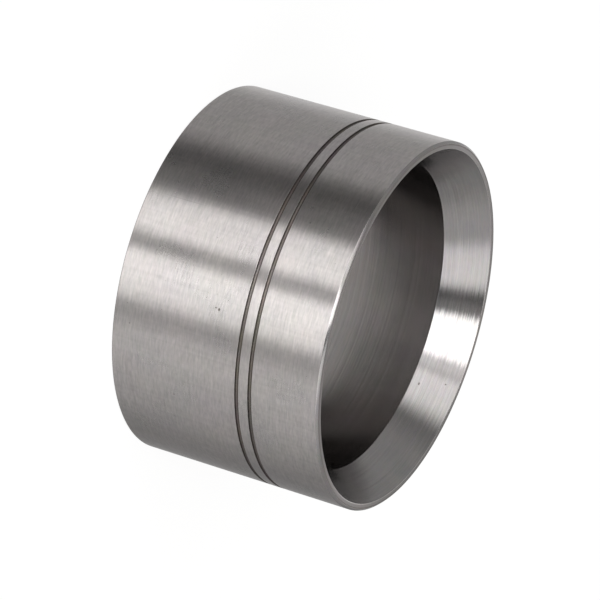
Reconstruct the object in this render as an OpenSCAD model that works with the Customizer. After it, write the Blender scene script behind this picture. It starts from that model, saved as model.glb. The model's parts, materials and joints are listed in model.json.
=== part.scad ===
// Plain sleeve bushing turned from one piece of steel.
// It stands on its rear face: +Z is the bore axis and points out of the mouth,
// and the origin is the centre of the rear face.

/* [Body] */
// Bore diameter, for the pin or shaft that runs in it
bore_d = 63.5; // [20:0.1:120]
// Wall between the bore and the outside, which is ground to press into its housing
wall = 6.35; // [4:0.05:12]
// Length from the rear face to the mouth face
body_l = 46; // [30:0.5:120]

/* [Mouth] */
// Width of the mouth face outside the lead-in, its chamfer included
mouth_land = 1.5; // [0.8:0.1:3]
// Angle of the lead-in against the bore axis, in degrees
lead_in_angle = 30; // [10:1:60]
// Chamfer between the mouth face and the outside
mouth_edge = 0.45; // [0.1:0.05:0.6]
// Edge break where the mouth face meets the lead-in
lead_in_edge = 0.15; // [0.05:0.05:0.2]

/* [Rear] */
// Chamfer round the outside of the rear face
rear_edge = 0.2; // [0.05:0.05:1.5]
// Chamfer at the rear end of the bore
rear_bore_edge = 0.5; // [0.05:0.05:1.5]

/* [Marker grooves] */
// How many grooves run round the outside
groove_count = 2; // [1:1:4]
// Distance from the mouth face to the middle of the first groove
groove_from_mouth = 15; // [4:0.1:40]
// Distance from the middle of one groove to the middle of the next
groove_pitch = 2.9; // [1.5:0.1:8]
// Width of each groove, which is also the width of the round-nosed tool
groove_w = 0.85; // [0.4:0.05:1.1]
// Depth of each groove, from the outside to the lowest point of its round floor
groove_depth = 0.6; // [0.55:0.05:1.2]

/* [Hidden] */
$fn = 180;
bore_r = bore_d / 2;
body_r = bore_r + wall;
// Radius at which the lead-in meets the mouth face
mouth_r = body_r - mouth_land;
// Depth of the lead-in, where its cone has come down to the bore
lead_in_depth = (mouth_r - bore_r) / tan(lead_in_angle);
// How far a cutting shape runs past the surface that it cuts
overcut = 1;

// Half section of the turned sleeve before grooving, X outwards and Y along the axis
module sleeve_section() {
    polygon([
        [bore_r, rear_bore_edge],
        [bore_r + rear_bore_edge, 0],
        [body_r - rear_edge, 0],
        [body_r, rear_edge],
        [body_r, body_l - mouth_edge],
        [body_r - mouth_edge, body_l],
        [mouth_r + lead_in_edge, body_l],
        [mouth_r - lead_in_edge * sin(lead_in_angle), body_l - lead_in_edge * cos(lead_in_angle)],
        [bore_r, body_l - lead_in_depth]
    ]);
}

// Section of one groove at a given height: straight walls down to a full round floor
module groove_section(height) {
    floor_r = groove_w / 2;
    translate([body_r - groove_depth + floor_r, height]) {
        circle(r = floor_r);
        translate([0, -floor_r])
            square([groove_depth + overcut, groove_w]);
    }
}

// The whole bushing: one solid of revolution with its marker grooves
module bushing() {
    color([0.62, 0.61, 0.60])
        rotate_extrude()
            difference() {
                sleeve_section();
                for (i = [0 : 1 : groove_count - 1])
                    groove_section(body_l - groove_from_mouth - i * groove_pitch);
            }
}

bushing();
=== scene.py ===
import json
import math

import bmesh
import bpy
from mathutils import Matrix, Vector


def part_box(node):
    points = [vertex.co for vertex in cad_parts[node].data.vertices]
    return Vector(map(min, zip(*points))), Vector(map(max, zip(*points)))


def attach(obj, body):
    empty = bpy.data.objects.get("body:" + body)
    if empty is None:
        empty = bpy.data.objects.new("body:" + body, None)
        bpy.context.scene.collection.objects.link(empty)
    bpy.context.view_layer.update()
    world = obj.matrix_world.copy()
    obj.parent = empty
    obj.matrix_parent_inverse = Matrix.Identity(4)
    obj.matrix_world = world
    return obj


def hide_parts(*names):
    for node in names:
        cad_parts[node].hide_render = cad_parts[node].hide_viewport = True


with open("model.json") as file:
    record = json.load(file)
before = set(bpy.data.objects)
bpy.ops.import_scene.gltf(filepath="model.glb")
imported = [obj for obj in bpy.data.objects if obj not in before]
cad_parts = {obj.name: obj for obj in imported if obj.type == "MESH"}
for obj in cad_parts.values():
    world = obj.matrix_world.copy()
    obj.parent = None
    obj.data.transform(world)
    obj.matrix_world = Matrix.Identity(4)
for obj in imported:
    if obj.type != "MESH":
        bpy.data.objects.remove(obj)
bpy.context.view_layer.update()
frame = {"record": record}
scene = bpy.context.scene
scene.view_settings.view_transform = 'Standard'
mm = 0.001
print("frame loaded")


# small helpers

def addNode(tree, kind, settings=None, links=None):
    # each entry names an attribute or an input socket, and a value that is itself a socket is linked in
    node = tree.nodes.new(kind)
    for name, value in {**(settings or {}), **(links or {})}.items():
        if isinstance(value, bpy.types.NodeSocket):
            tree.links.new(value, node.inputs[name])
        elif isinstance(name, int) or name in node.inputs:
            node.inputs[name].default_value = value
        else:
            setattr(node, name, value)
    return node


def newMaterial(name):
    material = bpy.data.materials.new(name)
    material.use_nodes = True
    material.node_tree.nodes.clear()
    return material


def linear(hexColour):
    # sRGB hex to the linear colour that a socket takes
    parts = [int(hexColour[i:i + 2], 16) / 255 for i in (1, 3, 5)]
    return [c / 12.92 if c <= 0.04045 else ((c + 0.055) / 1.055) ** 2.4 for c in parts] + [1.0]


def corners(element):
    # radius and height of each end of an edge, or of each corner of a face
    return [(math.hypot(v.co.x, v.co.y), v.co.z) for v in element.verts]


def pickEdges(piece, test):
    # in edit mode, select only the edges whose two ends both pass the test on radius and height
    bpy.ops.mesh.select_mode(type='EDGE')
    bpy.ops.mesh.select_all(action='DESELECT')
    mesh = bmesh.from_edit_mesh(piece.data)
    for edge in mesh.edges:
        if all(test(r, h) for r, h in corners(edge)):
            edge.select_set(True)
    mesh.select_flush_mode()
    bmesh.update_edit_mesh(piece.data)


def pickFaces(piece, test):
    # in edit mode, select only the faces whose mean radius and height pass the test
    bpy.ops.mesh.select_mode(type='FACE')
    bpy.ops.mesh.select_all(action='DESELECT')
    mesh = bmesh.from_edit_mesh(piece.data)
    for face in mesh.faces:
        around = corners(face)
        meanR = sum(r for r, h in around) / len(around)
        meanH = sum(h for r, h in around) / len(around)
        face.select_set(test(meanR, meanH))
    mesh.select_flush_mode()
    bmesh.update_edit_mesh(piece.data)


# camera: it looks 24 degrees down into the mouth, and is turned so that the mouth points right

view = {
    "aim": (0.98 * mm, 0, 21.64 * mm),
    "distance": 0.8287,
    "elevation": 23.834,
    "roll": 106.604,
    "lens": 247.19,
    "clip": (0.05, 50),
}


def makeCamera():
    camera = bpy.data.objects.new("camera", bpy.data.cameras.new("camera"))
    scene.collection.objects.link(camera)
    camera.data.lens = view["lens"]
    camera.data.clip_start, camera.data.clip_end = view["clip"]
    down = math.radians(view["elevation"])
    back = Vector((0, -math.cos(down), math.sin(down)))
    roll = Matrix.Rotation(math.radians(view["roll"]), 3, 'Z')
    turn = back.to_track_quat('Z', 'Y').to_matrix() @ roll
    place = Vector(view["aim"]) + back * view["distance"]
    camera.matrix_world = Matrix.Translation(place) @ turn.to_4x4()
    scene.camera = camera


makeCamera()
print("camera placed")


# materials: one bare carbon steel, in the five ways that its surfaces were cut

# dark and light are the two ends of the tone. rough and stretch shape the gloss, which is drawn out across
# the tool lines. lean is how far single lines tip round the part, which frays the edges of what it mirrors.
# The patterns have sizes in mm, and each has a weight in the tone. Lines are lineAcross wide and lineAlong
# long round the part. Hatch runs along the part, as long as the lines. Grain is short streaks round the part,
# and cloud is soft patches. Real tool lines are finer than 0.1 mm, so the lines and the grain are drawn as
# coarse as they need to show, 0.3 to 0.6 mm.
finishes = {
    # outside, centreless ground: bright satin, with bands of light that run straight along the part
    "groundSteel": {
        "dark": "#9d9795", "light": "#dad5d3", "rough": 0.28, "stretch": 0.95, "lean": 0.028,
        "lineAcross": 0.5, "lineAlong": 20, "lineTone": 0.36,
        "hatch": 0.75, "hatchTone": 0.3, "grain": 0.34, "grainTone": 0.62, "cloud": 9, "cloudTone": 0.3,
    },
    # mouth face and rear face, faced on the lathe: duller and greyer than the outside, with rings
    "facedSteel": {
        "dark": "#777270", "light": "#9c9795", "rough": 0.34, "stretch": 0.9, "lean": 0.03,
        "lineAcross": 0.6, "lineAlong": 30, "lineTone": 0.7,
        "hatch": 1.6, "hatchTone": 0.2, "grain": 0.4, "grainTone": 0.1, "cloud": 9, "cloudTone": 0.4,
    },
    # lead-in and the mouth's chamfer, fine turned: crisp lamps that break up into fine rings. This finish and
    # the bore's are darker than bare steel is, which holds down the light that bounces between the walls
    "turnedSteel": {
        "dark": "#6f6b6a", "light": "#a19e9d", "rough": 0.2, "stretch": 0.96, "lean": 0.06,
        "lineAcross": 0.42, "lineAlong": 25, "lineTone": 0.66,
        "hatch": 1.2, "hatchTone": 0.1, "grain": 0.4, "grainTone": 0.1, "cloud": 9, "cloudTone": 0.3,
    },
    # bore, bored with a light feed: the glossiest cut, with long close lines of strong tone
    "boredSteel": {
        "dark": "#777270", "light": "#aba6a4", "rough": 0.18, "stretch": 0.93, "lean": 0.03,
        "lineAcross": 0.32, "lineAlong": 60, "lineTone": 1.0,
        "hatch": 2, "hatchTone": 0.1, "grain": 0.5, "grainTone": 0.1, "cloud": 9, "cloudTone": 0.3,
    },
    # marker grooves, plunged with a round-nosed tool and left as cut: dull and a little brown. Their dark tone
    # is partly the cut and partly painted shade, darker than bare steel so that the grooves' shade deepens and
    # less light bounces between their walls
    "groovedSteel": {
        "dark": "#57504c", "light": "#726a65", "rough": 0.43, "stretch": 0.5, "lean": 0.03,
        "lineAcross": 0.3, "lineAlong": 20, "lineTone": 0.5,
        "hatch": 2, "hatchTone": 0.1, "grain": 0.4, "grainTone": 0.1, "cloud": 9, "cloudTone": 0.2,
    },
}
# what the five finishes share
steel = {
    "grainLong": 5,             # how many times as long as wide the grain is
    "patchTint": 0.035,         # share of warmer and cooler grey in the clouds
    "speckTint": 0.03,          # and in the grain
    "glossSwing": 0.06,         # how far the clouds move the roughness
    "bump": 0.1,                # how strongly the tool lines shade
    "bumpDepth": 0.01 * mm,
    "noiseRough": 0.6,
    "lineDetail": 2.5,
    "hatchDetail": 2.0,
    "grainDetail": 1.0,
    "cloudDetail": 4.0,
}
# nicks, pits and a scratch, each by the finish that it lies in: bearing round the part from the camera's side
# towards -X in degrees, radius and height in mm, its half width and half height in mm, and how dark it is
marks = {
    "groundSteel": (
        (-10.9, 38.1, 22.4, 0.25, 0.18, 0.72),
        (-10.6, 38.1, 21.7, 0.13, 0.18, 0.6),
        (-0.8, 38.1, 21.1, 0.1, 0.1, 0.35),
        (-6.7, 38.1, 21.3, 0.1, 0.12, 0.35),
        (-7.6, 38.1, 23.9, 0.1, 0.1, 0.3),
        (-8.5, 38.1, 19.2, 0.1, 0.1, 0.3),
        (9.1, 38.1, 17.8, 0.1, 0.14, 0.3),
        (2.1, 38.1, 16.4, 0.1, 0.1, 0.25),
        (-3.0, 38.1, 11.3, 0.1, 0.1, 0.25),
        (-7.3, 38.1, 9.8, 0.12, 0.1, 0.25),
        (-16.9, 38.1, 2.7, 0.12, 0.12, 0.35),
        (11.5, 38.1, 43.0, 0.12, 0.1, 0.3),
        (1.6, 38.1, 36.2, 0.1, 0.1, 0.25),
        (16.0, 38.1, 35.4, 0.1, 0.1, 0.25),
        (7.4, 38.1, 25.2, 0.12, 0.1, 0.25),
        (-42.4, 38.1, 14.0, 0.12, 0.22, 0.45),
        (-22.8, 38.1, 3.7, 0.16, 0.16, 0.45),
        (17.3, 38.1, 8.4, 0.06, 4.2, 0.22),         # the scratch
    ),
    "turnedSteel": (
        (198.8, 32.6, 39.1, 0.3, 0.15, 0.45),
        (195.0, 35.2, 43.6, 0.15, 0.2, 0.45),
    ),
    "facedSteel": (
        (79.7, 37.4, 46, 0.14, 0.4, 0.7),
    ),
}
# dark rings, by finish: radius and half width in mm, and how dark
rings = {
    "facedSteel": (37.42, 0.16, 0.6),       # on the mouth face, just inside its chamfer
}
stain = {
    "colour": "#4d4038",
    "rough": 0.6,
    "clear": 1.9,           # where a mark has faded out, in its own half sizes plus the ragged edge's 0 to 1
    "full": 1.1,            # and where it has its whole depth
}


def markMask(tree, name, point, radius, ragged):
    # 0 on clean steel and up to 1 in a mark
    masks = []
    for bearing, markR, height, wide, tall, depth in marks.get(name, ()):
        turn = math.radians(bearing)
        centre = (-markR * math.sin(turn), -markR * math.cos(turn), height)
        off = addNode(tree, "ShaderNodeVectorMath", {"operation": 'SUBTRACT', 1: centre}, {0: point})
        inSizes = addNode(tree, "ShaderNodeVectorMath",
                          {"operation": 'MULTIPLY', 1: (1 / wide, 1 / wide, 1 / tall)}, {0: off.outputs[0]})
        away = addNode(tree, "ShaderNodeVectorMath", {"operation": 'LENGTH'}, {0: inSizes.outputs[0]})
        edge = addNode(tree, "ShaderNodeMath", {"operation": 'ADD'}, {0: away.outputs["Value"], 1: ragged})
        masks.append(addNode(tree, "ShaderNodeMapRange",
                             {"From Min": stain["clear"], "From Max": stain["full"], "To Max": depth},
                             {"Value": edge.outputs[0]}).outputs[0])
    if name in rings:
        ringR, half, depth = rings[name]
        off = addNode(tree, "ShaderNodeMath", {"operation": 'SUBTRACT', 1: ringR}, {0: radius})
        away = addNode(tree, "ShaderNodeMath", {"operation": 'ABSOLUTE'}, {0: off.outputs[0]})
        masks.append(addNode(tree, "ShaderNodeMapRange", {"From Min": half, "From Max": 0.0, "To Max": depth},
                             {"Value": away.outputs[0]}).outputs[0])
    darkest = masks[0]
    for mask in masks[1:]:
        darkest = addNode(tree, "ShaderNodeMath", {"operation": 'MAXIMUM'}, {0: darkest, 1: mask}).outputs[0]
    return darkest


def pattern(tree, vector, size, detail):
    # soft noise, whose patches measure about the size that is given for each direction
    inSizes = addNode(tree, "ShaderNodeVectorMath", {"operation": 'MULTIPLY', 1: [1 / s for s in size]},
                      {0: vector})
    settings = {"Scale": 1.0, "Detail": detail, "Roughness": steel["noiseRough"]}
    return addNode(tree, "ShaderNodeTexNoise", settings, {0: inSizes.outputs[0]})


def swing(tree, total, noise, amount):
    # adds a pattern to a value, as a swing to both sides of it
    centred = addNode(tree, "ShaderNodeMath", {"operation": 'SUBTRACT', 1: 0.5}, {0: noise.outputs[0]})
    spread = addNode(tree, "ShaderNodeMath", {"operation": 'MULTIPLY', 1: amount}, {0: centred.outputs[0]})
    return addNode(tree, "ShaderNodeMath", {"operation": 'ADD'}, {0: total, 1: spread.outputs[0]}).outputs[0]


def toolLay(tree, place, lines, lean):
    # the direction round the part, which the tool followed, and a normal whose single lines tip along it
    turn = addNode(tree, "ShaderNodeVectorMath", {"operation": 'CROSS_PRODUCT', 0: (0, 0, 1)}, {1: place})
    tangent = addNode(tree, "ShaderNodeVectorMath", {"operation": 'NORMALIZE'}, {0: turn.outputs[0]})
    shades = addNode(tree, "ShaderNodeSeparateColor", None, {0: lines.outputs["Color"]})
    tip = addNode(tree, "ShaderNodeMath", {"operation": 'SUBTRACT', 1: 0.5}, {0: shades.outputs[1]})
    leaning = addNode(tree, "ShaderNodeMath", {"operation": 'MULTIPLY', 1: lean}, {0: tip.outputs[0]})
    tilt = addNode(tree, "ShaderNodeVectorMath", {"operation": 'SCALE'},
                   {0: tangent.outputs[0], "Scale": leaning.outputs[0]})
    upright = addNode(tree, "ShaderNodeNewGeometry").outputs["Normal"]
    leant = addNode(tree, "ShaderNodeVectorMath", {"operation": 'ADD'}, {0: upright, 1: tilt.outputs[0]})
    facing = addNode(tree, "ShaderNodeVectorMath", {"operation": 'NORMALIZE'}, {0: leant.outputs[0]})
    bump = addNode(tree, "ShaderNodeBump", {"Strength": steel["bump"], "Distance": steel["bumpDepth"]},
                   {"Height": lines.outputs[0], "Normal": facing.outputs[0]})
    return tangent.outputs[0], bump.outputs[0]


def makeSteel(name):
    finish = finishes[name]
    material = newMaterial(name)
    tree = material.node_tree
    place = addNode(tree, "ShaderNodeTexCoord").outputs["Object"]
    inMm = addNode(tree, "ShaderNodeVectorMath", {"operation": 'MULTIPLY', 1: [1 / mm] * 3}, {0: place})
    point = inMm.outputs[0]
    flat = addNode(tree, "ShaderNodeVectorMath", {"operation": 'MULTIPLY', 1: (1, 1, 0)}, {0: point})
    reach = addNode(tree, "ShaderNodeVectorMath", {"operation": 'LENGTH'}, {0: flat.outputs[0]})
    radius = reach.outputs["Value"]
    # tool lines lie side by side across the surface, whether that runs out or up, and run long round the part
    split = addNode(tree, "ShaderNodeSeparateXYZ", None, {0: point})
    across = addNode(tree, "ShaderNodeMath", {"operation": 'ADD'}, {0: radius, 1: split.outputs[2]})
    spun = addNode(tree, "ShaderNodeCombineXYZ", None,
                   {0: split.outputs[0], 1: split.outputs[1], 2: across.outputs[0]}).outputs[0]
    lineLong, hatchWide, grainWide = finish["lineAlong"], finish["hatch"], finish["grain"]
    grainLong = grainWide * steel["grainLong"]
    lines = pattern(tree, spun, (lineLong, lineLong, finish["lineAcross"]), steel["lineDetail"])
    hatch = pattern(tree, point, (hatchWide, hatchWide, lineLong), steel["hatchDetail"])
    grain = pattern(tree, spun, (grainLong, grainLong, grainWide), steel["grainDetail"])
    cloud = pattern(tree, point, [finish["cloud"]] * 3, steel["cloudDetail"])
    weight = 0.5            # half way from dark to light, before the patterns
    for noise, kind in ((lines, "line"), (hatch, "hatch"), (grain, "grain"), (cloud, "cloud")):
        weight = swing(tree, weight, noise, finish[kind + "Tone"])
    tone = addNode(tree, "ShaderNodeMix",
                   {"data_type": 'RGBA', 6: linear(finish["dark"]), 7: linear(finish["light"])}, {0: weight})
    # faint patches and specks of warmer and cooler grey
    patched = addNode(tree, "ShaderNodeMix", {"data_type": 'RGBA', 0: steel["patchTint"]},
                      {6: tone.outputs[2], 7: cloud.outputs["Color"]})
    specked = addNode(tree, "ShaderNodeMix", {"data_type": 'RGBA', 0: steel["speckTint"]},
                      {6: patched.outputs[2], 7: grain.outputs["Color"]})
    colour = specked.outputs[2]
    rough = swing(tree, finish["rough"], cloud, steel["glossSwing"])
    if name in marks or name in rings:
        mask = markMask(tree, name, point, radius, cloud.outputs[0])
        stained = addNode(tree, "ShaderNodeMix", {"data_type": 'RGBA', 7: linear(stain["colour"])},
                          {0: mask, 6: colour})
        dulled = addNode(tree, "ShaderNodeMix", {3: stain["rough"]}, {0: mask, 2: rough})
        colour = stained.outputs[2]
        rough = dulled.outputs[0]
    tangent, facing = toolLay(tree, place, lines, finish["lean"])
    # a quarter turn draws the gloss out across the tool lines
    shader = addNode(tree, "ShaderNodeBsdfPrincipled",
                     {"Metallic": 1.0, "Anisotropic": finish["stretch"], "Anisotropic Rotation": 0.25},
                     {"Base Color": colour, "Roughness": rough, "Tangent": tangent, "Normal": facing})
    addNode(tree, "ShaderNodeOutputMaterial", None, {0: shader.outputs[0]})
    return material


# the bushing

bushing = {
    "facets": 360,
    "grooveCount": 2,
    "grooveFromMouth": 15 * mm,
    "groovePitch": 2.9 * mm,
    "grooveWidth": 0.85 * mm,
    "grooveDepth": 0.6 * mm,
    "grooveFloor": 0.48,        # roundness of its floor's corners, as a share of its width
    "grooveSteps": 5,           # facets in each of those corners
    "grooveLip": 0.04 * mm,
    "mouthLand": 1.5 * mm,
    "mouthEdge": 0.45 * mm,
    "leadInEdge": 0.15 * mm,
    "leadInFoot": 0.12 * mm,    # soft corner where the lead-in comes down to the bore
    "rearEdge": 0.2 * mm,
    "rearBoreEdge": 0.5 * mm,
    "soft": 0.05 * mm,          # wear on the corners of the mouth's chamfer
    "flatness": 100,            # how firmly wide faces keep their shading from narrow neighbours
}
low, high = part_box("bushing")
boreMount = next(m for m in frame["record"]["mounts"] if m["name"] == "bore")
bodyL = high.z
bodyR = min(high.x, high.y, -low.x, -low.y)
boreR = boreMount["dims"]["r_mm"] * mm
mouthR = bodyR - bushing["mouthLand"]
floorR = bodyR - bushing["grooveDepth"]
coneZ = bushing["rearBoreEdge"] + boreMount["dims"]["length_mm"] * mm      # where the lead-in starts
firstGroove = bodyL - bushing["grooveFromMouth"]
grooves = [firstGroove - i * bushing["groovePitch"] for i in range(bushing["grooveCount"])]
grooveSides = [z + side * bushing["grooveWidth"] for z in grooves for side in (-0.5, 0.5)]
near = 0.01 * mm            # how close a corner lies to the place where it is looked for


def startSleeve():
    # the outside as a straight tube, with a cut line at both sides of each groove
    bpy.ops.object.select_all(action='DESELECT')
    bpy.ops.mesh.primitive_cylinder_add(vertices=bushing["facets"], radius=bodyR, depth=bodyL,
                                        end_fill_type='NOTHING', location=(0, 0, bodyL / 2))
    piece = bpy.context.object
    piece.name = "turned_bushing"
    bpy.ops.object.transform_apply(location=True, rotation=True, scale=True)
    bpy.ops.object.mode_set(mode='EDIT')
    for z in grooveSides:
        bpy.ops.mesh.select_all(action='SELECT')
        bpy.ops.mesh.bisect(plane_co=(0, 0, z), plane_no=(0, 0, 1))
    return piece


def openMouth(piece):
    # in over the mouth face from the outside's top edge, down the lead-in and the bore, then the rear face
    pickEdges(piece, lambda r, h: h > bodyL - near)
    bpy.ops.mesh.extrude_edges_move()
    bpy.ops.transform.resize(value=(mouthR / bodyR, mouthR / bodyR, 1), center_override=(0, 0, bodyL))
    bpy.ops.mesh.extrude_edges_move()
    bpy.ops.transform.resize(value=(boreR / mouthR, boreR / mouthR, 1), center_override=(0, 0, bodyL))
    bpy.ops.transform.translate(value=(0, 0, coneZ - bodyL))
    bpy.ops.mesh.extrude_edges_move()
    bpy.ops.transform.translate(value=(0, 0, -coneZ))
    pickEdges(piece, lambda r, h: h < near)
    bpy.ops.mesh.bridge_edge_loops()


def sinkGrooves(piece):
    for z in grooves:
        pickFaces(piece, lambda r, h: abs(h - z) < near and r > floorR + near)
        bpy.ops.mesh.extrude_region_move()
        bpy.ops.transform.resize(value=(floorR / bodyR, floorR / bodyR, 1), center_override=(0, 0, z))
    # round the floors, at the rings of edges on both sides and not the edges that cross from side to side
    pickEdges(piece, lambda r, h: abs(r - floorR) < near)
    mesh = bmesh.from_edit_mesh(piece.data)
    for edge in mesh.edges:
        if abs(edge.verts[0].co.z - edge.verts[1].co.z) > near:
            edge.select_set(False)
    bmesh.update_edit_mesh(piece.data)
    bpy.ops.mesh.bevel(offset=bushing["grooveFloor"] * bushing["grooveWidth"], segments=bushing["grooveSteps"])


def breakEdges(piece):
    # radius and height of each edge, how far it is cut back, and in how many steps
    b = bushing
    edges = [
        (bodyR, bodyL, b["mouthEdge"], 1),
        (mouthR, bodyL, b["leadInEdge"], 3),
        (bodyR, 0, b["rearEdge"], 1),
        (boreR, 0, b["rearBoreEdge"], 1),
        (boreR, coneZ, b["leadInFoot"], 2),
        (bodyR, bodyL - b["mouthEdge"], b["soft"], 2),
        (bodyR - b["mouthEdge"], bodyL, b["soft"], 2),
    ]
    edges += [(bodyR, z, b["grooveLip"], 2) for z in grooveSides]
    for edgeR, edgeH, size, steps in edges:
        pickEdges(piece, lambda r, h: abs(r - edgeR) < near and abs(h - edgeH) < near)
        bpy.ops.mesh.bevel(offset=size, segments=steps)
    bpy.ops.mesh.select_all(action='SELECT')
    bpy.ops.mesh.remove_doubles(threshold=0.05 * near)
    bpy.ops.mesh.normals_make_consistent(inside=False)


def giveFinishes(piece):
    # one finish for each way that the surface was cut, a later one over the ones before
    b = bushing
    chamferR = bodyR - b["mouthEdge"]
    chamferH = bodyL - b["mouthEdge"]
    middle = sum(grooves) / len(grooves)
    reach = b["groovePitch"] * len(grooves) / 2
    zones = (
        ("groundSteel", lambda r, h: True),
        ("facedSteel", lambda r, h: h > bodyL - near and r < chamferR or h < b["rearEdge"] / 2),
        ("turnedSteel", lambda r, h: (coneZ < h < bodyL and r < mouthR + near
                                      or h > chamferH and r > chamferR - near)),
        ("boredSteel", lambda r, h: r < boreR + near),
        ("groovedSteel", lambda r, h: floorR - near < r < bodyR - near and abs(h - middle) < reach),
    )
    for i, (finish, test) in enumerate(zones):
        piece.data.materials.append(makeSteel(finish))
        pickFaces(piece, test)
        piece.active_material_index = i
        bpy.ops.object.material_slot_assign()
    bpy.ops.mesh.select_all(action='DESELECT')


def makeBushing():
    piece = startSleeve()
    openMouth(piece)
    sinkGrooves(piece)
    breakEdges(piece)
    giveFinishes(piece)
    bpy.ops.object.mode_set(mode='OBJECT')
    bpy.ops.object.shade_smooth()
    weigh = piece.modifiers.new("faceWeights", 'WEIGHTED_NORMAL')
    weigh.weight = bushing["flatness"]
    bpy.ops.object.modifier_apply(modifier=weigh.name)
    return piece


turned = makeBushing()
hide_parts("bushing")
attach(turned, "root")
print("bushing turned:", len(turned.data.polygons), "faces")


# studio: a light tent of sheets and dark flags all round the part, over a pale floor

tent = {
    "wall": 0.425,          # level of the tent between the sheets
    "fold": 6,              # softness of every upper and lower edge, in degrees
    "discFacets": 96,       # corners of the floor, and of the card under the bore
}
# each sheet or flag: bearing from the camera's side towards -X, half width and edge softness in degrees,
# lowest and highest elevation, and its level, where 1 is white; a later one hangs in front of the ones before
sheets = (
    (0, 190, 5, 76, 200, 0.65),         # the roof, all the way round
    (180, 105, 15, 2, 58, 0.58),        # grey wall behind the part, which lifts the mouth face
    (168, 22, 14, -90, -4, 0.75),       # low sheet behind, for the top edge of the outside
    (170, 8, 6, 6, 18, 1.9),            # lamp over it, for the top and bottom of the mouth face
    (-140, 22, 20, -90, 4, 0.26),       # grey flag behind, for the bottom edge of the outside
    (-60, 12, 45, -90, 16, 0.66),       # broad soft fill, for the lower half of the outside
    (-41, 4.5, 3, -90, 16, 0.43),       # its darker end, next to the lamp
    (-16, 15, 2, -90, 16, 1.42),        # the two long lamps, which make the two bright bands
    (21.8, 13.5, 2, -90, 16, 1.37),
    (5.3, 4.9, 3, -90, 16, 0.2),        # and the gap between them
    (52, 13.4, 2.5, -90, 16, 0.115),    # black flag beside them
    (66, 10, 8, -90, 16, 0.05),         # and its blacker far half
    (-88, 24, 16, 16, 70, 1.02),        # the row above, for the lead-in: its upper half
    (-55, 16, 7, 16, 76, 2.25),         # the bright band above its white one
    (36.5, 20.6, 9, 16, 76, 2.5),       # the band below its white one
    (25, 2.6, 2, 16, 76, 1.35),         # and a darker stripe between them
    (-1.8, 17, 2, 16, 76, 4.8),         # the white band itself, from over the camera
    (-33.2, 4, 1.8, 16, 76, 0.07),      # and the dark gap above it
)


def makeTent():
    world = bpy.data.worlds.new("tent")
    scene.world = world
    world.use_nodes = True
    tree = world.node_tree
    tree.nodes.clear()
    look = addNode(tree, "ShaderNodeTexCoord").outputs["Generated"]
    level = addNode(tree, "ShaderNodeVectorMath", {"operation": 'MULTIPLY', 1: (1, 1, 0)}, {0: look})
    bearing = addNode(tree, "ShaderNodeVectorMath", {"operation": 'NORMALIZE'}, {0: level.outputs[0]})
    height = addNode(tree, "ShaderNodeSeparateXYZ", None, {0: look}).outputs[2]
    rise = addNode(tree, "ShaderNodeMath", {"operation": 'ARCSINE'}, {0: height})
    light = addNode(tree, "ShaderNodeRGB").outputs[0]
    light.default_value = [tent["wall"]] * 3 + [1]
    for at, half, soft, bottom, top, strength in sheets:
        turn = math.radians(at)
        toward = addNode(tree, "ShaderNodeVectorMath", {"operation": 'DOT_PRODUCT',
                         1: (-math.sin(turn), -math.cos(turn), 0)}, {0: bearing.outputs[0]})
        away = addNode(tree, "ShaderNodeMath", {"operation": 'ARCCOSINE'}, {0: toward.outputs["Value"]})
        # the sheet fades in from its sides, from below and from above
        mask = 1.0
        for angle, gone, whole in ((away, half + soft, max(half - soft, 0)),
                                   (rise, bottom - tent["fold"], bottom + tent["fold"]),
                                   (rise, top + tent["fold"], top - tent["fold"])):
            fade = addNode(tree, "ShaderNodeMapRange",
                           {"interpolation_type": 'SMOOTHSTEP', "From Min": math.radians(gone),
                            "From Max": math.radians(whole)}, {"Value": angle.outputs[0]})
            both = addNode(tree, "ShaderNodeMath", {"operation": 'MULTIPLY'}, {0: mask, 1: fade.outputs[0]})
            mask = both.outputs[0]
        light = addNode(tree, "ShaderNodeMix", {"data_type": 'RGBA', 7: [strength] * 3 + [1]},
                        {0: mask, 6: light}).outputs[2]
    glow = addNode(tree, "ShaderNodeBackground", {"Strength": 1.0}, {0: light})
    addNode(tree, "ShaderNodeOutputWorld", None, {0: glow.outputs[0]})


floorPaper = {
    "colour": "#f6f5f3",
    "white": 0.88,          # share that shows as plain white paper, while the rest takes light and shadow
    "radius": 12,
    "drop": 0.02 * mm,      # below the rear face, so that the two don't share a plane
}


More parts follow.
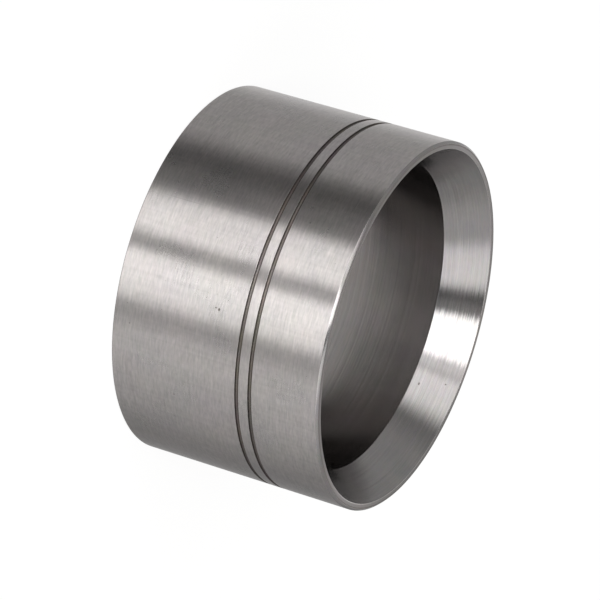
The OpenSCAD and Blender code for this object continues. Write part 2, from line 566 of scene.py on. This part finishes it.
def paleFloor():
    material = newMaterial("paleFloor")
    tree = material.node_tree
    path = addNode(tree, "ShaderNodeLightPath").outputs
    direct = addNode(tree, "ShaderNodeMath", {"operation": 'ADD'},
                     {0: path["Is Camera Ray"], 1: path["Is Glossy Ray"]})
    seen = addNode(tree, "ShaderNodeMath", {"operation": 'ADD', "use_clamp": True},
                   {0: direct.outputs[0], 1: path["Is Transmission Ray"]})
    share = addNode(tree, "ShaderNodeMath", {"operation": 'MULTIPLY', 1: floorPaper["white"]},
                    {0: seen.outputs[0]})
    lit = addNode(tree, "ShaderNodeBsdfDiffuse", {"Color": linear(floorPaper["colour"])})
    paper = addNode(tree, "ShaderNodeEmission", {"Strength": 1.0})
    both = addNode(tree, "ShaderNodeMixShader", None,
                   {0: share.outputs[0], 1: lit.outputs[0], 2: paper.outputs[0]})
    addNode(tree, "ShaderNodeOutputMaterial", None, {0: both.outputs[0]})
    return material


# a glowing card that only the steel sees, because it lies under the floor and the steel's gloss looks through
# that. It is a painted reflection of the floor in the bore, with painted shade towards the bore's wall
boreCard = {
    "radius": 37 * mm,      # under the wall, which hides its edge
    "drop": 0.1 * mm,
    "even": 20 * mm,        # up to here it has the middle's level, and from the bore's wall on the rim's
    "middle": 0.76,
    "rim": 0.0,
}


def shadedCard():
    # grey in the middle and black at the wall, as the bore mirrors it: the glow is a painted reflection, and
    # its fall to black at the wall is painted shade
    material = newMaterial("shadedCard")
    tree = material.node_tree
    place = addNode(tree, "ShaderNodeTexCoord").outputs["Object"]
    radius = addNode(tree, "ShaderNodeVectorMath", {"operation": 'LENGTH'}, {0: place}).outputs["Value"]
    level = addNode(tree, "ShaderNodeMapRange",
                    {"interpolation_type": 'SMOOTHSTEP', "From Min": boreCard["even"], "From Max": boreR,
                     "To Min": boreCard["middle"], "To Max": boreCard["rim"]}, {"Value": radius})
    glow = addNode(tree, "ShaderNodeEmission", None, {"Strength": level.outputs[0]})
    addNode(tree, "ShaderNodeOutputMaterial", None, {0: glow.outputs[0]})
    return material


def stageDisc(name, radius, height, material):
    bpy.ops.object.select_all(action='DESELECT')
    bpy.ops.mesh.primitive_circle_add(vertices=tent["discFacets"], radius=radius, fill_type='NGON',
                                      location=(0, 0, height))
    disc = bpy.context.object
    disc.name = name
    disc.data.materials.append(material)
    return disc


def makeFloor():
    # the tent hangs all round the part, below it too, so its steel mirrors the sheets and not the floor
    floor = stageDisc("floor", floorPaper["radius"], -floorPaper["drop"], paleFloor())
    floor.visible_glossy = False
    floor.visible_shadow = False
    # the card under the bore glows with a painted reflection and painted shade, which only the steel's gloss
    # sees
    card = stageDisc("bore_card", boreCard["radius"], -boreCard["drop"], shadedCard())
    card.visible_diffuse = False


makeTent()
makeFloor()
print("studio set")
